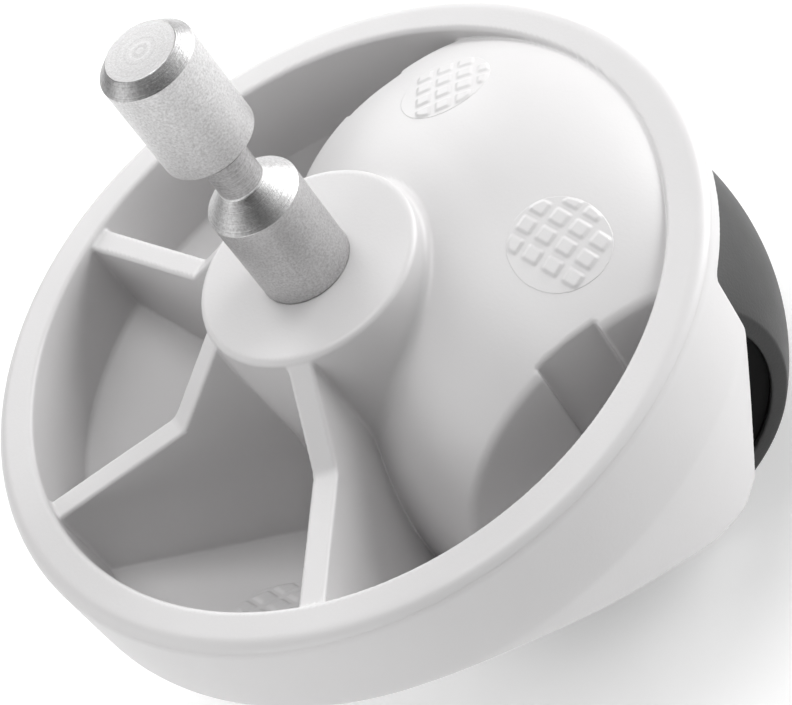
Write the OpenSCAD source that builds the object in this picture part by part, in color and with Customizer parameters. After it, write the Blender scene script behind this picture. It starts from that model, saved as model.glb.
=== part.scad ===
// Hooded chair caster: a round bowl-shaped hood turns on a grooved plug-in stem,
// and a single crowned wheel rolls under the dome at its trailing side.
// The origin is on the stem's axis at the top face of the boss, +Z runs up the
// stem, +X points to the trailing side, and the wheel's axle lies along Y.

/* [Stem] */
// Diameter of the stem's two cylinders
stem_d = 10; // [8:0.5:11]
// Length of the lower cylinder above the boss
stem_low_h = 11.3; // [9:0.1:14]
// Diameter of the neck that the socket's spring grips
neck_d = 4.9; // [4:0.1:6]
// Height of the straight neck above the shoulder cone
neck_h = 6.0; // [4:0.1:8]
// Length of the head's cylinder
head_h = 11.7; // [9:0.1:14]
// Height of the lead-in cone on top of the head
tip_h = 1.3; // [0.8:0.1:2]

/* [Hood] */
// Outer diameter of the hood's rim
hood_d = 81.2; // [78:0.1:86]
// Width of the rim's flat top
rim_w = 4.5; // [3.5:0.1:5]
// Radius of the rim's outer edge
rim_round = 1.6; // [1:0.1:2]
// Height of the boss above the rim
boss_rise = 6.5; // [6:0.1:8]
// Diameter of the boss
boss_d = 24.4; // [22:0.1:26]
// Height of the hood's straight outer wall
wall_h = 11.5; // [10:0.1:13]
// Slope of the front bowl, from horizontal
bowl_slope = 35; // [32:1:38]
// Thickness of the bowl and of the pocket floors
floor_t = 3; // [2.5:0.1:3.5]
// Thickness of the ribs
rib_t = 2.8; // [2.2:0.1:3.4]
// Thickness of the well's two side plates
plate_t = 2.35; // [2.2:0.05:2.6]

/* [Wheel] */
// Largest diameter of the wheel, at the middle of its crown
wheel_d = 47; // [46:0.1:47.4]
// Diameter of the wheel at its edges
edge_d = 33.4; // [32:0.1:34]
// Width of the wheel
wheel_w = 42; // [40:0.1:42.2]
// Trail, from the stem's axis to the axle
trail = 17.4; // [17:0.1:18.5]
// Drop of the axle below the boss face
axle_drop = 28.3; // [28:0.1:29]
// Thickness of the tyre
tyre_t = 1.8; // [1.5:0.1:2.2]
// Diameter of the axle
axle_d = 5; // [4:0.1:5]

/* [Hidden] */
$fn = 96;
run_gap = 0.05;            // radial clearance of every running fit

// Stem
stem_r = stem_d / 2;
neck_r = neck_d / 2;
cone_h = stem_r - neck_r;  // the shoulder is a 45 degree cone
neck_top = stem_low_h + cone_h + neck_h;
head_z = neck_top + 0.6;
tip_z = head_z + head_h;
journal_r = 4.6;           // the stem turns in the boss on this thinner journal
shoulder_z = 0.05;         // and its shoulder clears the boss face by this much
bore_depth = 6.15;         // the blind bore stops short of the well
disc_t = 0.8;
disc_gap = 0.02;
stem_foot = -bore_depth + disc_t + disc_gap;
groove_r = 3.8;            // snap ring's groove in the journal
groove_h = 1.2;
groove_z = -3.9;
ring_r = 5.2;              // snap ring, sprung out into the boss
ring_groove_r = 5.35;
ring_gap_angle = 50;

// Hood
hood_r = hood_d / 2;
rim_r = hood_r - rim_w;
boss_r = boss_d / 2;
rim_z = -boss_rise;
wall_z = rim_z - wall_h;
bowl_fall = tan(bowl_slope);
cheek_taper = tan(14.4);   // the cheeks lean in under the straight wall
bowl_step = 0.4;            // the bowl's cone starts this far under the straight wall
hood_bottom = rim_z - 33.5;
// Two planes shape the cheeks' underside: fall towards +X, and height at the origin
keels = [[-0.434, rim_z - 39.05], [-0.618, rim_z - 36.89]];
keel_y = 0.6;              // rise of both away from the middle
mouth_z = rim_z - 3.3;     // top edge of the rear mouth
mouth_half = 25.2;
mouth_x = 27.2;            // front of the mouth, upright down to here,
mouth_bend_z = -31.5;
mouth_low_x = 23.9;        // then leaning forward to this at the hood's foot
rib_angles = [120, 180, 240];
rib_knee_r = 20.5;
rib_low = 1.3;             // the ribs' level tops lie this far under the rim
rib_high = 0.7;            // and start this far under the boss face

// Dome and well are barrels about the axle
dome_r = 27;
dome_edge_r = 21.02;
dome_half = 24.15;
dome_run = 2.4;            // the dome's crown runs level this far towards the rim
well_r = 24.6;
well_edge_r = 18.8;
well_half = dome_half - plate_t;
recess_x = [12.5, 19.7];   // recesses that thin the side plates at the axle's ends
recess_half = 23.2;
recess_low = -32.4;
seat_half = recess_half + 0.3;
snap_w = 4.4;              // the axle snaps in through this slot

// Wheel
wheel_r = wheel_d / 2;
edge_r = edge_d / 2;
wheel_half = wheel_w / 2;
axle_r = axle_d / 2;
rim_t = 2.2;
core_half = wheel_half - 0.6;
core_r = wheel_r - tyre_t;
core_edge_r = edge_r - tyre_t;
web_t = 3;
hub_r = 6.5;
hub_half = 20.5;
bush_r = 4;
bush_len = 8;
washer_t = 1;
washer_r = 5;
washer_y = well_half - washer_t - 0.1;
spoke_count = 6;
spoke_t = 1.8;
spoke_half = 14;

// Radius of the arc that crowns a barrel from edge_r at +-half to mid_r at the middle
function crown_r(mid_r, edge_r, half) =
    (half * half + pow(mid_r - edge_r, 2)) / (2 * (mid_r - edge_r));

// Half section of a barrel, radius along X and width along Y
module barrel_section(mid_r, edge_r, half) {
    arc_r = crown_r(mid_r, edge_r, half);
    intersection() {
        translate([mid_r - arc_r, 0]) circle(r = arc_r, $fn = 256);
        translate([0, -half]) square([mid_r + 1, 2 * half]);
    }
}

// Turns the children, drawn about Z, onto the axle
module on_axle() {
    translate([trail, 0, -axle_drop]) rotate([90, 0, 0]) children();
}

module barrel(mid_r, edge_r, half) {
    on_axle() rotate_extrude() barrel_section(mid_r, edge_r, half);
}

// A barrel's upper half, with its outline carried straight down from the axle
module arch(mid_r, edge_r, half, bottom) {
    on_axle() rotate_extrude(angle = 180) barrel_section(mid_r, edge_r, half);
    translate([trail, 0, bottom]) linear_extrude(height = -axle_drop - bottom) {
        barrel_section(mid_r, edge_r, half);
        mirror([1, 0]) barrel_section(mid_r, edge_r, half);
    }
}

// Straight wall and front bowl, with the bowl's cone moved down by lower
module bowl_form(r, round_r, top, lower) {
    edge_z = wall_z - lower;
    foot_z = edge_z - (r - boss_r) * bowl_fall;
    rotate_extrude() {
        difference() {
            polygon([[0, top], [r, top], [r, edge_z], [boss_r, foot_z], [0, foot_z]]);
            translate([r - round_r, top - round_r]) square(round_r + 1);
        }
        if (round_r > 0) translate([r - round_r, top - round_r]) circle(r = round_r);
    }
}

// Straight wall with the cheeks' taper below it
module cheek_turn(r, top) {
    rotate_extrude() polygon([[0, top], [r, top], [r, wall_z],
        [r - (wall_z - hood_bottom) * cheek_taper, hood_bottom], [0, hood_bottom]]);
}

// Space above the cheeks' keel-shaped underside, raised by lift, at |y| over y_in
module above_keel(lift, y_in) {
    front_x = -12;
    run = 2 * hood_r;
    for (side = [0, 1]) mirror([0, side, 0]) intersection() {
        translate([front_x, y_in, hood_bottom + lift]) cube([run, hood_r, -hood_bottom]);
        for (keel = keels) {
            slope = norm([keel[0], keel_y]);
            translate([0, 0, keel[1] + lift]) rotate([0, 0, atan2(keel_y, keel[0])])
                rotate([90, 0, 0]) linear_extrude(height = 2 * run, center = true)
                    polygon([[-run, -run * slope], [run, run * slope], [-run, run * slope]]);
        }
    }
}

// Everything inside the hood's outer surface
module hood_outside() {
    bowl_form(hood_r, rim_round, rim_z, bowl_step);
    intersection() {
        cheek_turn(hood_r, rim_z - rim_round);
        union() {
            above_keel(0, well_half - 1);
            arch(dome_r, dome_edge_r, dome_half, hood_bottom);
        }
    }
}

// The open compartments and the pockets beside the dome
module hood_hollow() {
    bowl_form(rim_r, 0, rim_z + 1,
        bowl_step + floor_t / cos(bowl_slope) - rim_w * bowl_fall);
    intersection() {
        cheek_turn(rim_r, rim_z + 1);
        above_keel(1.2 * floor_t, dome_half - 1);
    }
}

module rib(angle) {
    low_z = rim_z - rib_low;
    rotate([0, 0, angle]) rotate([90, 0, 0])
        translate([0, 0, -rib_t / 2]) linear_extrude(height = rib_t)
            polygon([[boss_r - 2, -rib_high], [boss_r, -rib_high], [rib_knee_r, low_z],
                [rim_r + 1, low_z + 0.5], [rim_r + 1, hood_bottom],
                [boss_r - 2, hood_bottom]]);
}

// Shallow vertical recesses in the side plates, where the axle's ends come through
module side_recesses() {
    for (side = [0, 1]) mirror([0, side, 0]) translate([recess_x[0], recess_half, recess_low])
        cube([recess_x[1] - recess_x[0], dome_half + 0.5 - recess_half, -recess_low]);
}

// Dome, boss and ribs, before they are trimmed to the outer surface
module hood_inside() {
    arch(dome_r, dome_edge_r, dome_half, hood_bottom);
    translate([dome_run, 0, 0]) arch(dome_r, dome_edge_r + 0.2, dome_half - 0.4, hood_bottom);
    translate([0, 0, hood_bottom]) cylinder(r = boss_r, h = -hood_bottom);
    for (angle = rib_angles) rib(angle);
}

module wheel_well() {
    arch(well_r, well_edge_r, well_half, hood_bottom - 1);
    rotate([90, 0, 0]) linear_extrude(height = 2 * mouth_half, center = true)
        polygon([[mouth_x, mouth_z], [mouth_x, mouth_bend_z], [mouth_low_x, hood_bottom],
            [mouth_low_x, hood_bottom - 1], [2 * hood_r, hood_bottom - 1],
            [2 * hood_r, mouth_z]]);
}

module axle_seats() {
    on_axle() cylinder(r = axle_r, h = 2 * seat_half, center = true);
    translate([trail - snap_w / 2, -seat_half, hood_bottom - 1])
        cube([snap_w, 2 * seat_half, -axle_drop - hood_bottom + 1]);
}

module boss_bore() {
    translate([0, 0, -bore_depth]) cylinder(r = journal_r + run_gap, h = bore_depth + 1);
    translate([0, 0, groove_z - 0.1]) cylinder(r = ring_groove_r, h = groove_h + 0.2);
}

module hood() {
    color("gainsboro") difference() {
        union() {
            difference() {
                hood_outside();
                hood_hollow();
            }
            intersection() {
                hood_inside();
                union() {
                    hood_outside();
                    translate([0, 0, rim_z - 5]) cylinder(r = rim_r + 0.5, h = 5 - rim_z);
                }
            }
        }
        wheel_well();
        side_recesses();
        axle_seats();
        boss_bore();
    }
}

module stem() {
    color("silver") rotate_extrude() polygon([[0, stem_foot],
        [journal_r - 0.5, stem_foot], [journal_r, stem_foot + 0.5], [journal_r, groove_z],
        [groove_r, groove_z], [groove_r, groove_z + groove_h],
        [journal_r, groove_z + groove_h], [journal_r, shoulder_z], [stem_r, shoulder_z],
        [stem_r, stem_low_h], [neck_r, stem_low_h + cone_h], [neck_r, neck_top],
        [stem_r - 0.5, neck_top], [stem_r, head_z], [stem_r, tip_z],
        [stem_r - tip_h, tip_z + tip_h], [0, tip_z + tip_h]]);
}

module stem_clip() {
    ring_t = groove_h - 0.2;
    color("dimgray") translate([0, 0, groove_z + 0.1])
        rotate([0, 0, 180 + ring_gap_angle / 2])
            rotate_extrude(angle = 360 - ring_gap_angle)
                translate([groove_r + 0.05, 0]) square([ring_r - groove_r - 0.05, ring_t]);
}

module thrust_disc() {
    color("gray") translate([0, 0, -bore_depth]) cylinder(r = journal_r - 0.1, h = disc_t);
}

module axle() {
    tip = 0.4;
    half = recess_half - 0.05;
    color("silver") on_axle() rotate_extrude() polygon([[0, -half], [axle_r - tip, -half],
        [axle_r, tip - half], [axle_r, half - tip], [axle_r - tip, half], [0, half]]);
}

// A ring on the axle from y0 towards +Y
module axle_ring(outer_r, inner_r, y0, width) {
    on_axle() translate([0, 0, -y0 - width]) difference() {
        cylinder(r = outer_r, h = width);
        translate([0, 0, -1]) cylinder(r = inner_r, h = width + 2);
    }
}

module axle_washer_left() {
    color("silver") axle_ring(washer_r, axle_r + run_gap, washer_y, washer_t);
}

module axle_washer_right() {
    color("silver") mirror([0, 1, 0]) axle_ring(washer_r, axle_r + run_gap, washer_y, washer_t);
}

module hub_bush_left() {
    color("ivory") axle_ring(bush_r, axle_r + run_gap, hub_half - bush_len, bush_len);
}

module hub_bush_right() {
    color("ivory") mirror([0, 1, 0])
        axle_ring(bush_r, axle_r + run_gap, hub_half - bush_len, bush_len);
}

module wheel_core() {
    color([0.08, 0.08, 0.09]) difference() {
        union() {
            difference() {
                barrel(core_r, core_edge_r, core_half);
                difference() {
                    barrel(core_r - rim_t, core_edge_r - rim_t, core_half);
                    on_axle() cylinder(r = core_r, h = web_t, center = true);
                }
                for (side = [-1, 1]) on_axle() translate([0, 0, side * (core_half + 4.9)])
                    cylinder(r = core_edge_r - rim_t, h = 10, center = true);
            }
            on_axle() cylinder(r = hub_r, h = 2 * hub_half, center = true);
            for (i = [0 : spoke_count - 1]) on_axle() rotate([0, 0, i * 360 / spoke_count])
                translate([hub_r - 1, -spoke_t / 2, -spoke_half])
                    cube([core_edge_r - hub_r, spoke_t, 2 * spoke_half]);
        }
        on_axle() cylinder(r = bush_r, h = 3 * hub_half, center = true);
    }
}

module tyre() {
    color([0.22, 0.22, 0.23]) difference() {
        barrel(wheel_r, edge_r, wheel_half);
        barrel(core_r, core_edge_r, core_half);
        on_axle() cylinder(r = core_edge_r, h = 3 * wheel_half, center = true);
    }
}

stem();
stem_clip();
thrust_disc();
hood();
axle();
axle_washer_left();
axle_washer_right();
wheel_core();
tyre();
hub_bush_left();
hub_bush_right();
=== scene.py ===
import math

import bmesh
import bpy
import numpy as np
from mathutils import Matrix, Vector


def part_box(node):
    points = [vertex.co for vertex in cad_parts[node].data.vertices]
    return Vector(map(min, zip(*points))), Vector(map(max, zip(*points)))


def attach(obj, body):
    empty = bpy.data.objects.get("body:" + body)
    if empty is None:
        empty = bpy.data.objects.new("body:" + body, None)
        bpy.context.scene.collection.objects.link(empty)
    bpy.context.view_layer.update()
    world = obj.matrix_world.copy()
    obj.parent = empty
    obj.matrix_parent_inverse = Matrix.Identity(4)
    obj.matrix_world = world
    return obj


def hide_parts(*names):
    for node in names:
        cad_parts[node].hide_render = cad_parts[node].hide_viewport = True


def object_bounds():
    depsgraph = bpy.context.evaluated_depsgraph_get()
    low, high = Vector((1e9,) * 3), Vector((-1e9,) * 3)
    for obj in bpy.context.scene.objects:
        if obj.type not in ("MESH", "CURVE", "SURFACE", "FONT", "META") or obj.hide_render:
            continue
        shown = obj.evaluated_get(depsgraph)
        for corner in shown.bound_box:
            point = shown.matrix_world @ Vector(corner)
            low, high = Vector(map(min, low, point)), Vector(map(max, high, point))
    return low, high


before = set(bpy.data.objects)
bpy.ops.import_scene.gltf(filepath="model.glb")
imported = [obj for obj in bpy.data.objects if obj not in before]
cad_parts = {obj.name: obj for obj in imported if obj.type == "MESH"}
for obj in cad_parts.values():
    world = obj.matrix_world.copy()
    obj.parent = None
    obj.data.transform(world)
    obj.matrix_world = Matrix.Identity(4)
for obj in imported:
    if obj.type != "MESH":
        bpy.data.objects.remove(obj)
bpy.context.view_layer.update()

# A hooded chair caster. Shapes are worked out in millimetres, in the row's frame
# (origin at the boss face on the stem's axis, +Z up the stem, wheel towards +X),
# and turned into metres when their meshes are made.
MM = 0.001


def cad(node):
    """Lowest and highest corner of a CAD node in millimetres."""
    return [np.array(corner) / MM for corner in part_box(node)]


# ---------------------------------------------------------------- sizes

HOOD_LOW, HOOD_HIGH = cad("hood")
STEM_LOW, STEM_HIGH = cad("stem")
TYRE_LOW, TYRE_HIGH = cad("tyre")
CORE_HALF = cad("wheel_core")[1][1]

# the hood's bowl, boss and ribs
HOOD_R = HOOD_HIGH[0]
HOOD_FOOT = HOOD_LOW[2]
RIM_R = HOOD_R - 4.5            # inside of the rim
RIM_Z = -6.5                    # top face of the rim
RIM_ROUND = 1.6                 # outer edge of the rim
PART_LINE_Z = RIM_Z - 0.9       # the faint moulding line round it
WALL_Z = RIM_Z - 11.5           # foot of the straight outer wall
WALL_FOLD = 0.5                 # softness of the fold there
BOSS_R = 12.2
BOSS_DRAFT, DRAFT_Z = 0.03, -6
BOWL_FALL = math.tan(math.radians(35))
BOWL_STEP = 0.4
FLOOR = 3.0
RIB_HALF = 1.4
RIB_ANGLES = (120, 180, 240)
RIB_KNEE_R = 20.5
RIB_TOP_Z = -0.7
RIB_LOW_Z = RIM_Z - 1.3
RIB_FALL = 0.5                  # from the knee to the rim

# the cheeks beside the wheel: their taper, and the (slope, height) of their two lower planes
CHEEK_TAPER = math.tan(math.radians(14.4))
KEELS = ((-0.434, RIM_Z - 39.05), (-0.618, RIM_Z - 36.89))
KEEL_Y = 0.6
KEEL_FRONT = -12.0
CORNER_X, CORNER_RUN = 17.0, 6.0
CORNER_ROUND = 0.6, 1.9         # of the lower edge in front, and how much more at the rear

# the dome over the wheel and the well inside it
TRAIL = (TYRE_LOW[0] + TYRE_HIGH[0]) / 2
AXLE_Z = (TYRE_LOW[2] + TYRE_HIGH[2]) / 2
DOME = (27.0, 21.02, 24.15)     # radius at the middle, radius at the edge, half width
WELL = (24.6, 18.8, 21.8)
DOME_RUN = 2.4
MOUTH_X, MOUTH_HALF, MOUTH_Z = 27.2, 25.2, RIM_Z - 3.3
MOUTH_BEND_Z, MOUTH_LEAN = -31.5, 3.3 / 8.5
RECESS_X = (12.5, 19.7)
RECESS_HALF, RECESS_Z = 23.2, -32.4

# seats for the axle and the stem
AXLE_R = 2.5
SEAT_HALF = 24.5
SNAP_HALF = 2.2
JOURNAL_R = 4.6
BORE_R = 4.65
BORE_Z = -6.15
RING_Z, RING_H, RING_R = -4.0, 1.4, 5.35

# the stem: neck, the cylinders' ends and the tip's chamfer
NECK_R, NECK_TOP = 2.45, 19.85
SHOULDER_Z, HEAD_Z, TIP = 11.3, 20.45, 1.3
STEM_GAP = 0.05                 # between its shoulder and the boss
GROOVE_R, GROOVE_LOW, GROOVE_HIGH = 3.8, -3.9, -2.7

# the wheel
WHEEL_R = (TYRE_HIGH[2] - TYRE_LOW[2]) / 2
WHEEL_HALF = TYRE_HIGH[1]
EDGE_R = 16.7
TYRE_T = 1.8

# the round pads of pips: the pad's radius, spacing, half a pip, its soft edge, and heights
PAD_R, PIP_PITCH, PIP_HALF, PIP_SOFT = 5.3, 2.33, 0.78, 0.26
PIP_TALL, PAD_LIFT, PAD_DEPTH = 0.2, 0.04, 0.6
PIP_TURN = math.radians(22)
SHORT_ROW, LONG_ROW = (-0.6, 0.4), (-1.6, -0.6, 0.4, 1.4)
PIP_ROWS = {-2: SHORT_ROW, -1: LONG_ROW, 0: LONG_ROW, 1: LONG_ROW}


# ---------------------------------------------------------------- distance fields

def join(a, b, r):
    """Union of two distance fields with a fillet of radius r."""
    fillet = np.hypot(np.maximum(r - a, 0), np.maximum(r - b, 0))
    return np.maximum(r, np.minimum(a, b)) - fillet


def meet(a, b, r):
    """Intersection with its edge rounded to radius r."""
    return -join(-a, -b, r)


def slab(value, low, high):
    """Negative between two limits."""
    return np.maximum(low - value, value - high)


def crown_r(mid_r, edge_r, half):
    """Radius of the arc that crowns a barrel."""
    return (half ** 2 + (mid_r - edge_r) ** 2) / (2 * (mid_r - edge_r))


def arch_field(x, y, z, sizes, edge, run=0.0):
    """A barrel about the axle, carried straight down below it and run out towards +X."""
    mid_r, _, half = sizes
    arc_r = crown_r(*sizes)
    out = np.hypot(x - TRAIL - np.clip(x - TRAIL, 0, run), np.maximum(z - AXLE_Z, 0))
    crown = np.hypot(out - (mid_r - arc_r), y) - arc_r
    return meet(crown, np.abs(y) - half, edge)


def rib_field(x, y, z, angle):
    """A rib that falls from the boss to its knee, then runs nearly level to the rim."""
    turn = math.radians(angle)
    along = x * math.cos(turn) + y * math.sin(turn)
    across = -x * math.sin(turn) + y * math.cos(turn)
    rise = (RIB_TOP_Z - RIB_LOW_Z) / (RIB_KNEE_R - BOSS_R)
    slope = (z - RIB_TOP_Z + (along - BOSS_R) * rise) / math.hypot(1, rise)
    level = z - RIB_LOW_Z - RIB_FALL * (along - RIB_KNEE_R) / (RIM_R - RIB_KNEE_R)
    top = join(level, meet(slope, z - RIB_TOP_Z, 0.3), 0.3)
    body = meet(top, np.abs(across) - RIB_HALF, 0.4)
    return np.maximum(body, 3 - along)


def keel_field(x, y, z, lift):
    """Positive below the two planes that shape the cheeks' underside."""
    return np.minimum.reduce([(height + lift + fall * x + KEEL_Y * np.abs(y) - z)
                              / math.hypot(1, fall, KEEL_Y) for fall, height in KEELS])


def under_field(x, y, z, rho):
    """Positive below the hood's underside."""
    edge_z = WALL_Z - BOWL_STEP
    cone = (edge_z - (HOOD_R - rho) * BOWL_FALL - z) / math.hypot(1, BOWL_FALL)
    foot = edge_z - (HOOD_R - BOSS_R) * BOWL_FALL
    bowl = np.maximum(cone, foot - z)
    keel = meet(keel_field(x, y, z, 0), HOOD_FOOT - z, 1.0)
    keel = np.maximum(keel, np.maximum(WELL[2] - 1 - np.abs(y), KEEL_FRONT - x))
    skirt = meet(arch_field(x, y, z, DOME, 0.5), HOOD_FOOT - z, 0.6)
    return join(np.minimum(keel, skirt), bowl, 1.5)


def hollow_field(x, y, z, rho):
    """The open compartments and the side pockets."""
    lift = FLOOR * math.hypot(1, BOWL_FALL)
    floor_z = WALL_Z - BOWL_STEP + lift - (HOOD_R - rho) * BOWL_FALL
    bowl = meet(rho - RIM_R, (floor_z - z) / math.hypot(1, BOWL_FALL), 0.4)
    inner = (rho - RIM_R + np.maximum(WALL_Z - z, 0) * CHEEK_TAPER)
    inner = inner * math.cos(math.atan(CHEEK_TAPER))
    keel = meet(inner, keel_field(x, y, z, 1.2 * FLOOR), 1.2)
    keel = np.maximum(keel, np.maximum(DOME[2] - 1 - np.abs(y), KEEL_FRONT - x))
    return np.minimum(bowl, keel)


def hood_field(x, y, z):
    """The whole hood: wall, boss, dome and ribs, less the underside, well, seats and bore."""
    rho = np.hypot(x, y)
    lean = (WALL_Z - z + np.hypot(WALL_Z - z, WALL_FOLD)) / 2
    side = rho - HOOD_R + lean * CHEEK_TAPER
    side = side * np.where(z < WALL_Z, math.cos(math.atan(CHEEK_TAPER)), 1.0)
    walls = meet(-hollow_field(x, y, z, rho), z - RIM_Z, 0.5)
    walls = meet(walls, side, RIM_ROUND)
    boss = meet(rho - BOSS_R - BOSS_DRAFT * np.minimum(z - DRAFT_Z, 0), z, 0.7)
    dome = arch_field(x, y, z, DOME, 0.7, DOME_RUN)
    recess = meet(meet(slab(x, *RECESS_X), RECESS_Z - z, 0.5), RECESS_HALF - np.abs(y), 0.25)
    dome = meet(dome, -recess, 0.35)
    inside = join(dome, boss, 1.0)
    for angle in RIB_ANGLES:
        inside = join(inside, rib_field(x, y, z, angle), 0.3)
    inside = np.maximum(inside, side + FLOOR)
    body = join(walls, inside, 0.35)
    corner = CORNER_ROUND[0] + CORNER_ROUND[1] * np.clip((x - CORNER_X) / CORNER_RUN, 0, 1)
    body = meet(body, under_field(x, y, z, rho), corner)
    front = MOUTH_X - MOUTH_LEAN * np.maximum(MOUTH_BEND_Z - z, 0) - x
    front = front / math.hypot(1, MOUTH_LEAN)
    well = join(arch_field(x, y, z, WELL, 0.8),
                np.maximum(front, meet(np.abs(y) - MOUTH_HALF, z - MOUTH_Z, 0.6)), 0.6)
    body = meet(body, -well, 0.5)
    seat = np.hypot(x - TRAIL, z - AXLE_Z) - AXLE_R
    seat = np.minimum(seat, np.maximum(np.abs(x - TRAIL) - SNAP_HALF, z - AXLE_Z))
    body = meet(body, -np.maximum(seat, np.abs(y) - SEAT_HALF), 0.15)
    bore = np.maximum(rho - BORE_R, BORE_Z - z)
    bore = np.minimum(bore, np.maximum(rho - RING_R, slab(z, RING_Z, RING_Z + RING_H)))
    return meet(body, -bore, 0.25)


# ---------------------------------------------------------------- meshes

def slope_of(field, points, reach=0.02):
    """Gradient of a field at points."""
    columns = []
    for axis in range(3):
        shift = np.zeros(3)
        shift[axis] = reach
        ahead = field(*(points + shift).T)
        behind = field(*(points - shift).T)
        columns.append((ahead - behind) / (2 * reach))
    return np.stack(columns, axis=1)


def settle(field, points, steps, limit):
    """Moves points along the gradient onto the field's zero surface."""
    for _ in range(steps):
        slope = slope_of(field, points)
        size = np.maximum((slope ** 2).sum(axis=1), 0.25)
        move = slope * (field(*points.T) / size)[:, None]
        length = np.maximum(np.linalg.norm(move, axis=1), 1e-9)
        points = points - move * np.minimum(1, limit / length)[:, None]
    return points


def skin(field, low, high, step, passes):
    """Vertices, quads and normals of a field's zero surface on an even grid."""
    axes = [np.arange(a - 2 * step, b + 3 * step, step) for a, b in zip(low, high)]
    inside = np.empty([len(a) for a in axes], bool)
    wide, tall = np.meshgrid(axes[1], axes[2], indexing="ij")
    for i, x in enumerate(axes[0]):
        inside[i] = field(np.full_like(wide, x), wide, tall) < 0
    count = sum(inside[i:inside.shape[0] - 1 + i, j:inside.shape[1] - 1 + j,
                       k:inside.shape[2] - 1 + k].astype(np.int8)
                for i in (0, 1) for j in (0, 1) for k in (0, 1))
    active = (count > 0) & (count < 8)
    number = np.full(active.shape, -1)
    number[active] = np.arange(active.sum())
    origin = np.array([a[0] for a in axes])
    points = origin + (np.argwhere(active) + 0.5) * step
    quads = []
    for a in range(3):
        b, c = (a + 1) % 3, (a + 2) % 3
        near = np.take(inside, range(0, inside.shape[a] - 1), axis=a)
        far = np.take(inside, range(1, inside.shape[a]), axis=a)
        node = np.argwhere(near != far)
        step_b, step_c = np.eye(3, dtype=int)[b], np.eye(3, dtype=int)[c]
        ring = [node, node - step_b, node - step_b - step_c, node - step_c]
        quad = np.stack([number[tuple(cell.T)] for cell in ring], axis=1)
        outward = inside[tuple(node.T)]
        quad[~outward] = quad[~outward][:, ::-1]
        quads.append(quad)
    quads = np.concatenate(quads)
    points = settle(field, points, 3, step)
    start, end = quads.ravel(), np.roll(quads, -1, axis=1).ravel()
    share = np.bincount(start, minlength=len(points)) + np.bincount(end, minlength=len(points))
    for _ in range(passes):
        middle = np.stack([
            np.bincount(start, points[end, i], len(points))
            + np.bincount(end, points[start, i], len(points)) for i in range(3)], axis=1)
        points = points + 0.6 * (middle / share[:, None] - points)
        points = settle(field, points, 1, step)
    points = settle(field, points, 2, step)
    normal = slope_of(field, points)
    normal /= np.linalg.norm(normal, axis=1)[:, None]
    return points, quads, normal


def add_mesh(name, points, faces):
    """A smooth-shaded object from points in millimetres."""
    mesh = bpy.data.meshes.new(name)
    mesh.from_pydata((np.asarray(points) * MM).tolist(), [], [list(map(int, f)) for f in faces])
    mesh.update()
    mesh.shade_smooth()
    obj = bpy.data.objects.new(name, mesh)
    bpy.context.scene.collection.objects.link(obj)
    return obj


def rounded(profile, steps=5):
    """A closed or open (radius, height, corner radius) profile with its corners rounded."""
    points = [np.array(p[:2], float) for p in profile]
    out = [points[0]]
    for i in range(1, len(points) - 1):
        r = profile[i][2]
        before, at, after = points[i - 1], points[i], points[i + 1]
        if r <= 0:
            out.append(at)
            continue
        u = (before - at) / np.linalg.norm(before - at)
        v = (after - at) / np.linalg.norm(after - at)
        half = math.acos(np.clip(u @ v, -1, 1)) / 2
        reach = r / math.tan(half)
        centre = at + (u + v) / np.linalg.norm(u + v) * r / math.sin(half)
        a, b = at + u * reach - centre, at + v * reach - centre
        sweep = math.pi - 2 * half
        for k in range(steps + 1):
            t = k / steps
            out.append(centre + (math.sin((1 - t) * sweep) * a + math.sin(t * sweep) * b)
                       / math.sin(sweep))
    out.append(points[-1])
    return np.array(out)


def lathe(name, profile, turns=160, about="Z"):
    """Turns a (radius, height) profile, whose ends lie on the axis or meet, about an axis."""
    angle = np.arange(turns) * 2 * math.pi / turns
    on_axis = [p[0] < 1e-6 for p in profile]
    points, rings = [], []
    for p, centre in zip(profile, on_axis):
        rings.append(len(points) if centre else list(range(len(points), len(points) + turns)))
        if centre:
            points.append((0, 0, p[1]))
        else:
            points += [(p[0] * math.cos(t), p[0] * math.sin(t), p[1]) for t in angle]
    faces = []
    for a, b in zip(rings, rings[1:]):
        for k in range(turns):
            m = (k + 1) % turns
            if isinstance(a, int) and isinstance(b, int):
                continue
            if isinstance(a, int):
                faces.append((a, b[m], b[k]))
            elif isinstance(b, int):
                faces.append((a[k], a[m], b))
            else:
                faces.append((a[k], a[m], b[m], b[k]))
    if not on_axis[0]:
        a, b = rings[-1], rings[0]
        faces += [(a[k], a[(k + 1) % turns], b[(k + 1) % turns], b[k]) for k in range(turns)]
    points = np.array(points)
    if about == "Y":
        points = np.stack([points[:, 0] + TRAIL, points[:, 2], AXLE_Z - points[:, 1]], axis=1)
    obj = add_mesh(name, points, faces)
    shape = bmesh.new()
    shape.from_mesh(obj.data)
    bmesh.ops.recalc_face_normals(shape, faces=shape.faces)
    shape.to_mesh(obj.data)
    shape.free()
    return obj


# ---------------------------------------------------------------- materials

def material(name):
    """A new material with its nodes, links, shader and object coordinates."""
    mat = bpy.data.materials.new(name)
    mat.use_nodes = True
    nodes, links = mat.node_tree.nodes, mat.node_tree.links
    shader = nodes["Principled BSDF"]
    where = nodes.new("ShaderNodeTexCoord").outputs["Object"]
    return mat, nodes, links, shader, where


def noise(nodes, links, where, scale, detail=3.0, rough=0.55):
    node = nodes.new("ShaderNodeTexNoise")
    node.inputs["Scale"].default_value = scale
    node.inputs["Detail"].default_value = detail
    node.inputs["Roughness"].default_value = rough
    links.new(where, node.inputs["Vector"])
    return node.outputs["Fac"]


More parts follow.
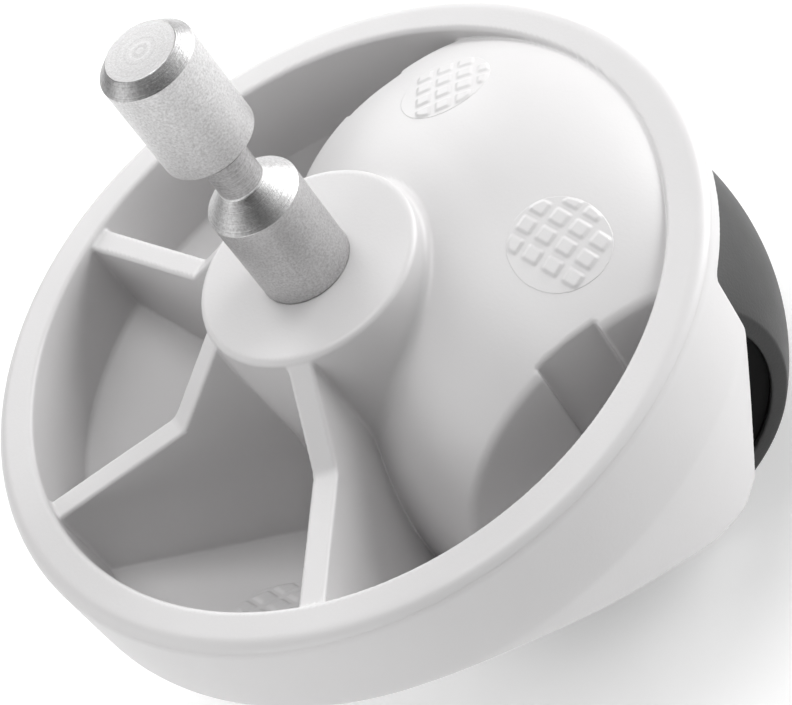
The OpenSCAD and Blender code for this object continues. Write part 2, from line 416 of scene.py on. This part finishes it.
def ramp(nodes, links, value, stops):
    node = nodes.new("ShaderNodeValToRGB")
    ends = node.color_ramp.elements
    ends[0].position, ends[0].color = stops[0][0], stops[0][1]
    ends[1].position, ends[1].color = stops[-1][0], stops[-1][1]
    for position, colour in stops[1:-1]:
        ends.new(position).color = colour
    links.new(value, node.inputs["Fac"])
    return node.outputs["Color"]


def spread(nodes, links, value, low, high):
    """Maps 0..1 to low..high."""
    node = nodes.new("ShaderNodeMapRange")
    node.inputs["To Min"].default_value = low
    node.inputs["To Max"].default_value = high
    links.new(value, node.inputs["Value"])
    return node.outputs["Result"]


def bump(nodes, links, shader, height, distance, strength, before=None):
    """Bumps the shader's normal by a height, after another bump if there is one."""
    node = nodes.new("ShaderNodeBump")
    node.inputs["Distance"].default_value = distance
    node.inputs["Strength"].default_value = strength
    links.new(height, node.inputs["Height"])
    if before:
        links.new(before, node.inputs["Normal"])
    links.new(node.outputs["Normal"], shader.inputs["Normal"])
    return node.outputs["Normal"]


def math_node(nodes, links, operation, *values):
    node = nodes.new("ShaderNodeMath")
    node.operation = operation
    for socket, value in zip(node.inputs, values):
        if isinstance(value, (int, float)):
            socket.default_value = value
        else:
            links.new(value, socket)
    return node.outputs["Value"]


def grey(value, warm=0.0):
    return (value * (1 + warm), value * (1 - 0.4 * warm), value, 1)


def about_stem(nodes, links, where):
    """Squared distance from the stem's axis, and height."""
    split = nodes.new("ShaderNodeSeparateXYZ")
    links.new(where, split.inputs["Vector"])
    x, y, z = (split.outputs[axis] for axis in "XYZ")
    square = math_node(nodes, links, "ADD", math_node(nodes, links, "MULTIPLY", x, x),
                       math_node(nodes, links, "MULTIPLY", y, y))
    return square, z


def moulded(name, low, high, roughness, grain=2600, depth=0.00002, warm=0.0, gloss=0.5):
    """Moulded plastic or rubber: faint clouding, and a fine grain in the surface."""
    mat, nodes, links, shader, where = material(name)
    shader.inputs["Specular IOR Level"].default_value = gloss
    cloud = noise(nodes, links, where, 45, 4)
    colour = ramp(nodes, links, cloud, [(0.3, grey(low, warm)), (0.7, grey(high, warm))])
    links.new(colour, shader.inputs["Base Color"])
    patch = noise(nodes, links, where, 260, 4)
    links.new(spread(nodes, links, patch, roughness - 0.05, roughness + 0.05),
              shader.inputs["Roughness"])
    bump(nodes, links, shader, noise(nodes, links, where, grain, 2), depth, 0.5)
    return mat


def part_line(mat, height, near):
    """A faint moulding line round the outside of a moulded piece, at one height."""
    nodes, links = mat.node_tree.nodes, mat.node_tree.links
    shader = nodes["Principled BSDF"]
    before = shader.inputs["Normal"].links[0].from_socket
    square, z = about_stem(nodes, links, nodes.new("ShaderNodeTexCoord").outputs["Object"])
    outside = math_node(nodes, links, "GREATER_THAN", square, (near * MM) ** 2)
    ridge = math_node(nodes, links, "COMPARE", z, height * MM, 0.06 * MM)
    bump(nodes, links, shader, math_node(nodes, links, "MULTIPLY", ridge, outside), 0.00012, 1.0,
         before)


def steel(name, value, roughness, speck, contrast, lines, line_depth, turned=0.4):
    """Steel with a speckled skin, crossed by fine, uneven turning lines about the stem's axis."""
    mat, nodes, links, shader, where = material(name)
    shader.inputs["Metallic"].default_value = 1.0
    square, z = about_stem(nodes, links, where)
    # distance along the profile, on the cylinders, the cones and the end face alike
    along = math_node(nodes, links, "SUBTRACT", math_node(nodes, links, "SQRT", square),
                      math_node(nodes, links, "MULTIPLY", z, 0.8))
    cut = nodes.new("ShaderNodeTexNoise")
    cut.noise_dimensions = "1D"
    cut.inputs["Scale"].default_value = lines
    cut.inputs["Detail"].default_value = 4
    links.new(along, cut.inputs["W"])
    grains = noise(nodes, links, where, speck, 4, 0.65)
    mixed = math_node(nodes, links, "ADD", math_node(nodes, links, "MULTIPLY", grains, 1 - turned),
                      math_node(nodes, links, "MULTIPLY", cut.outputs["Fac"], turned))
    colour = ramp(nodes, links, mixed, [(0.34, grey(value * (1 - contrast), 0.012)),
                                        (0.5, grey(value, 0.006)),
                                        (0.66, grey(value * (1 + 0.8 * contrast)))])
    links.new(colour, shader.inputs["Base Color"])
    links.new(spread(nodes, links, mixed, roughness + 0.14, roughness - 0.14),
              shader.inputs["Roughness"])
    first = bump(nodes, links, shader, cut.outputs["Fac"], line_depth, 0.6)
    bump(nodes, links, shader, grains, 0.00006, 0.5, first)
    return mat


def brushed_round(mat):
    """Stretches the highlights of a turned surface across its turning lines."""
    nodes, links = mat.node_tree.nodes, mat.node_tree.links
    nodes["Principled BSDF"].inputs["Anisotropic"].default_value = 0.75
    turning = nodes.new("ShaderNodeTangent")
    turning.direction_type = "RADIAL"
    turning.axis = "Z"
    links.new(turning.outputs["Tangent"], nodes["Principled BSDF"].inputs["Tangent"])


hood_mat = moulded("hood_plastic", 0.635, 0.662, 0.42, warm=0.009)
part_line(hood_mat, PART_LINE_Z, HOOD_R - 0.6)
tread_mat = moulded("tread_rubber", 0.018, 0.030, 0.5, grain=3600, depth=0.00006, gloss=0.42)
black_mat = moulded("wheel_black", 0.003, 0.006, 0.6, grain=1800, gloss=0.06)
acetal_mat = moulded("bush_acetal", 0.68, 0.74, 0.35, warm=0.02)
skin_steel = steel("stem_skin", 0.58, 0.36, 4400, 0.22, 2600, 0.000003, 0.08)
face_steel = steel("stem_face", 0.46, 0.46, 4400, 0.12, 2200, 0.000008, 0.4)
cut_steel = steel("stem_cut", 0.54, 0.34, 3600, 0.34, 8000, 0.00003)
brushed_round(cut_steel)
spring_mat = steel("spring_steel", 0.32, 0.35, 1800, 0.2, 3000, 0.00001)


# ---------------------------------------------------------------- pieces

def finish_piece(obj, mat, body, slot, *nodes):
    """Gives a piece its material and body, and hides the CAD nodes it replaces; the slot argument
    is not used.
    """
    obj.data.materials.append(mat)
    if nodes:
        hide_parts(*nodes)
    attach(obj, body)


def build_hood():
    step = 0.34
    points, quads, normal = skin(hood_field, HOOD_LOW, HOOD_HIGH, step, 5)
    obj = add_mesh("hood_moulding", points, quads)
    obj.data.normals_split_custom_set_from_vertices(normal.tolist())
    finish_piece(obj, hood_mat, "hood", "hood_plastic", "hood")


def build_stem():
    """The stem in one piece: plated cylinders, turned cones and neck, and a paler end face."""
    r = STEM_HIGH[0]
    foot, top = STEM_LOW[2], STEM_HIGH[2]
    profile = rounded([
        (0, foot, 0), (JOURNAL_R - 0.5, foot, 0.1), (JOURNAL_R, foot + 0.5, 0.1),
        (JOURNAL_R, GROOVE_LOW, 0), (GROOVE_R, GROOVE_LOW, 0),
        (GROOVE_R, GROOVE_HIGH, 0), (JOURNAL_R, GROOVE_HIGH, 0),
        (JOURNAL_R, STEM_GAP, 0), (r, STEM_GAP, 0.1),
        (r, SHOULDER_Z, 0.12), (NECK_R, SHOULDER_Z + r - NECK_R, 0.4),
        (NECK_R, NECK_TOP, 0.25), (r - 0.6, NECK_TOP, 0.15), (r, HEAD_Z, 0.15),
        (r, top - TIP, 0.1), (r - TIP, top, 0.12), (0, top, 0)])
    obj = lathe("stem_turned", profile, 192)
    for mat in (skin_steel, cut_steel, face_steel):
        obj.data.materials.append(mat)
    for face in obj.data.polygons:
        up = abs(face.normal.z)
        rho = math.hypot(face.center.x, face.center.y) / MM
        face.material_index = 2 if up > 0.95 else 1 if up > 0.3 or rho < NECK_R + 0.3 else 0
    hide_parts("stem")
    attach(obj, "stem")


def crown_profile(mid_r, edge_r, half, count, reach):
    """Points (radius, y) along a barrel's crown from -reach to reach."""
    arc_r = crown_r(mid_r, edge_r, half)
    return [(mid_r - arc_r + math.sqrt(arc_r ** 2 - y ** 2), y, 0)
            for y in np.linspace(-reach, reach, count)]


def build_tyre():
    """The tread: a crowned sleeve with soft edges, open in the middle for the core."""
    outer = crown_profile(WHEEL_R, EDGE_R, WHEEL_HALF, 41, WHEEL_HALF)
    inner = crown_profile(WHEEL_R - TYRE_T, EDGE_R - TYRE_T, CORE_HALF, 41, CORE_HALF)
    outer[0] = (EDGE_R, -WHEEL_HALF, 0.45)
    outer[-1] = (EDGE_R, WHEEL_HALF, 0.45)
    lip = EDGE_R - TYRE_T
    start = (lip, -CORE_HALF, 0)
    loop = [start, (lip, -WHEEL_HALF, 0.25)] + outer + [(lip, WHEEL_HALF, 0.25)]
    loop += [(r, y, 0) for r, y, _ in reversed(inner)]
    profile = rounded(loop + [start], 4)[:-1]
    obj = lathe("tread_sleeve", profile, 224, "Y")
    finish_piece(obj, tread_mat, "wheel", "tread_rubber", "tyre")


def pip_patch(name, centre, side, place):
    """A round pad of soft square pips, laid over a surface by place(x, y, height)."""
    span = np.linspace(-1, 1, 121)
    u, v = np.meshgrid(span, span, indexing="ij")
    # a square grid drawn out to a disc
    disc_x = u * np.sqrt(1 - v ** 2 / 2) * PAD_R
    disc_y = v * np.sqrt(1 - u ** 2 / 2) * PAD_R
    rho = np.hypot(disc_x, disc_y)
    c, s = math.cos(PIP_TURN), math.sin(PIP_TURN)
    along, across = disc_x * s + disc_y * c * side, -disc_x * c + disc_y * s * side

    def rise(off):
        t = np.clip((PIP_HALF + PIP_SOFT - np.abs(off)) / (2 * PIP_SOFT), 0, 1)
        return t * t * (3 - 2 * t)

    height = np.zeros_like(rho)
    for row, columns in PIP_ROWS.items():
        for column in columns:
            height = np.maximum(height, rise(along - column * PIP_PITCH)
                                * rise(across - row * PIP_PITCH))
    height = PIP_TALL * height * np.clip((PAD_R - 0.15 - rho) / 0.4, 0, 1) + PAD_LIFT
    height = np.where(rho > PAD_R - 0.12, -0.15, height)
    top = place(centre[0] + disc_x, centre[1] + disc_y, height)
    bottom = place(centre[0] + disc_x, centre[1] + disc_y, np.full_like(height, -PAD_DEPTH))
    n = len(span)
    points = np.concatenate([top.reshape(-1, 3), bottom.reshape(-1, 3)])
    index = np.arange(n * n).reshape(n, n)
    faces = []
    for i in range(n - 1):
        for j in range(n - 1):
            quad = [index[i, j], index[i + 1, j], index[i + 1, j + 1], index[i, j + 1]]
            faces.append(quad)
            faces.append([k + n * n for k in reversed(quad)])
    rim = ([index[i, 0] for i in range(n)] + [index[n - 1, j] for j in range(1, n)]
           + [index[i, n - 1] for i in range(n - 2, -1, -1)]
           + [index[0, j] for j in range(n - 2, 0, -1)])
    for a, b in zip(rim, rim[1:] + rim[:1]):
        faces.append([b, a, a + n * n, b + n * n])
    obj = add_mesh(name, points, faces)
    finish_piece(obj, hood_mat, "hood", "hood_plastic")


def on_dome(x, y, height):
    """Points over the dome at plan position x, y, raised by height along its normal."""
    arc_r = crown_r(*DOME)
    out = DOME[0] - arc_r + np.sqrt(arc_r ** 2 - y ** 2)
    past = x - TRAIL - np.clip(x - TRAIL, 0, DOME_RUN)
    z = np.sqrt(np.maximum(out ** 2 - past ** 2, 1))
    lean = y / np.sqrt(arc_r ** 2 - y ** 2)
    normal = np.stack([past / out, lean, z / out], axis=-1)
    normal /= np.linalg.norm(normal, axis=-1, keepdims=True)
    return np.stack([x, y, z + AXLE_Z], axis=-1) + normal * height[..., None]


def on_bowl(x, y, height):
    """The same over the sloping floor of the front bowl."""
    rho = np.hypot(x, y)
    lift = FLOOR * math.hypot(1, BOWL_FALL)
    z = WALL_Z - BOWL_STEP + lift - (HOOD_R - rho) * BOWL_FALL
    normal = np.stack([-BOWL_FALL * x / rho, -BOWL_FALL * y / rho, np.ones_like(x)], axis=-1)
    normal /= np.linalg.norm(normal, axis=-1, keepdims=True)
    return np.stack([x, y, z], axis=-1) + normal * height[..., None]


def dress_cad_nodes():
    """Materials for the inner parts that stay as the CAD made them."""
    looks = {"stem_clip": spring_mat, "thrust_disc": spring_mat, "axle": cut_steel,
             "axle_washer_left": spring_mat, "axle_washer_right": spring_mat,
             "wheel_core": black_mat, "hub_bush_left": acetal_mat, "hub_bush_right": acetal_mat}
    for name, mat in looks.items():
        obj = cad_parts[name]
        for slot in obj.material_slots:
            slot.material = mat


build_hood()
build_stem()
build_tyre()
pip_patch("grip_pad_right", (21.43, -14.95), -1, on_dome)
pip_patch("grip_pad_left", (22.3, 13.3), 1, on_dome)
pip_patch("grip_pad_floor_right", (-22.8, -15.0), -1, on_bowl)
dress_cad_nodes()


# ---------------------------------------------------------------- stage, light, camera

def build_stage():
    """A pale floor just under the wheel."""
    floor_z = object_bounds()[0][2] - 0.0002
    bpy.ops.mesh.primitive_plane_add(size=6, location=(0, 0, floor_z))
    floor = bpy.context.object
    floor.name = "floor"
    mat, nodes, links, shader, where = material("floor_paper")
    tone = ramp(nodes, links, noise(nodes, links, where, 3), [(0.4, grey(0.9)), (0.6, grey(0.92))])
    links.new(tone, shader.inputs["Base Color"])
    shader.inputs["Roughness"].default_value = 0.9
    # a light table: it glows a little from below
    shader.inputs["Emission Color"].default_value = (1, 1, 1, 1)
    shader.inputs["Emission Strength"].default_value = 0.22
    floor.data.materials.append(mat)


def area_light(name, where, aim, size, power):
    """A disc light at a place, facing a point."""
    light = bpy.data.lights.new(name, "AREA")
    light.shape = "DISK"
    light.size = size
    light.energy = power
    obj = bpy.data.objects.new(name, light)
    obj.location = where
    obj.rotation_euler = (Vector(aim) - Vector(where)).to_track_quat("-Z", "Y").to_euler()
    bpy.context.scene.collection.objects.link(obj)


def build_light():
    """Six soft discs round the caster, and a dim world behind a pale backdrop."""
    world = bpy.data.worlds.new("studio")
    bpy.context.scene.world = world
    world.use_nodes = True
    nodes, links = world.node_tree.nodes, world.node_tree.links
    dim = nodes["Background"]
    dim.inputs["Color"].default_value = (1, 1, 1, 1)
    dim.inputs["Strength"].default_value = 0.04
    # the backdrop shows only where the camera sees past the floor, and lights nothing
    pale = nodes.new("ShaderNodeBackground")
    pale.inputs["Color"].default_value = (0.9, 0.9, 0.9, 1)
    mix = nodes.new("ShaderNodeMixShader")
    links.new(nodes.new("ShaderNodeLightPath").outputs["Is Camera Ray"], mix.inputs["Fac"])
    links.new(dim.outputs["Background"], mix.inputs[1])
    links.new(pale.outputs["Background"], mix.inputs[2])
    links.new(mix.outputs["Shader"], nodes["World Output"].inputs["Surface"])
    discs = [("right", (1, 0.2, 0.2), 5.1), ("behind", (0, 0.9, 0.4), 2.2),
             ("overhead", (0, 0.05, 1), 3.15), ("left_front", (-0.85, -0.6, 0.1), 1.5),
             ("right_front", (0.72, -0.5, 0.45), 0.75), ("left", (-0.9, 0.1, 0.4), 1.0)]
    for name, toward, power in discs:
        area_light(name, Vector(toward).normalized() * 0.7, (0, 0, -0.01), 0.5, power)


def build_camera():
    """The photograph's view: 43 degrees above the rim and rolled about the line of sight."""
    place = Vector((9.67, -192.74, 176.81)) * MM
    aim = Vector((2.245, -11.267, RIM_Z)) * MM
    roll = math.radians(37.53)
    ahead = (aim - place).normalized()
    level = ahead.cross(Vector((0, 0, 1))).normalized()
    rise = level.cross(ahead)
    right = level * math.cos(roll) - rise * math.sin(roll)
    up = level * math.sin(roll) + rise * math.cos(roll)
    data = bpy.data.cameras.new("camera")
    data.sensor_width = 36
    data.lens = 118.06
    camera = bpy.data.objects.new("camera", data)
    turn = Matrix((right, up, -ahead)).transposed().to_4x4()
    camera.matrix_world = Matrix.Translation(place) @ turn
    bpy.context.scene.collection.objects.link(camera)
    bpy.context.scene.camera = camera


build_stage()
build_light()
build_camera()
bpy.context.scene.view_settings.view_transform = "Standard"
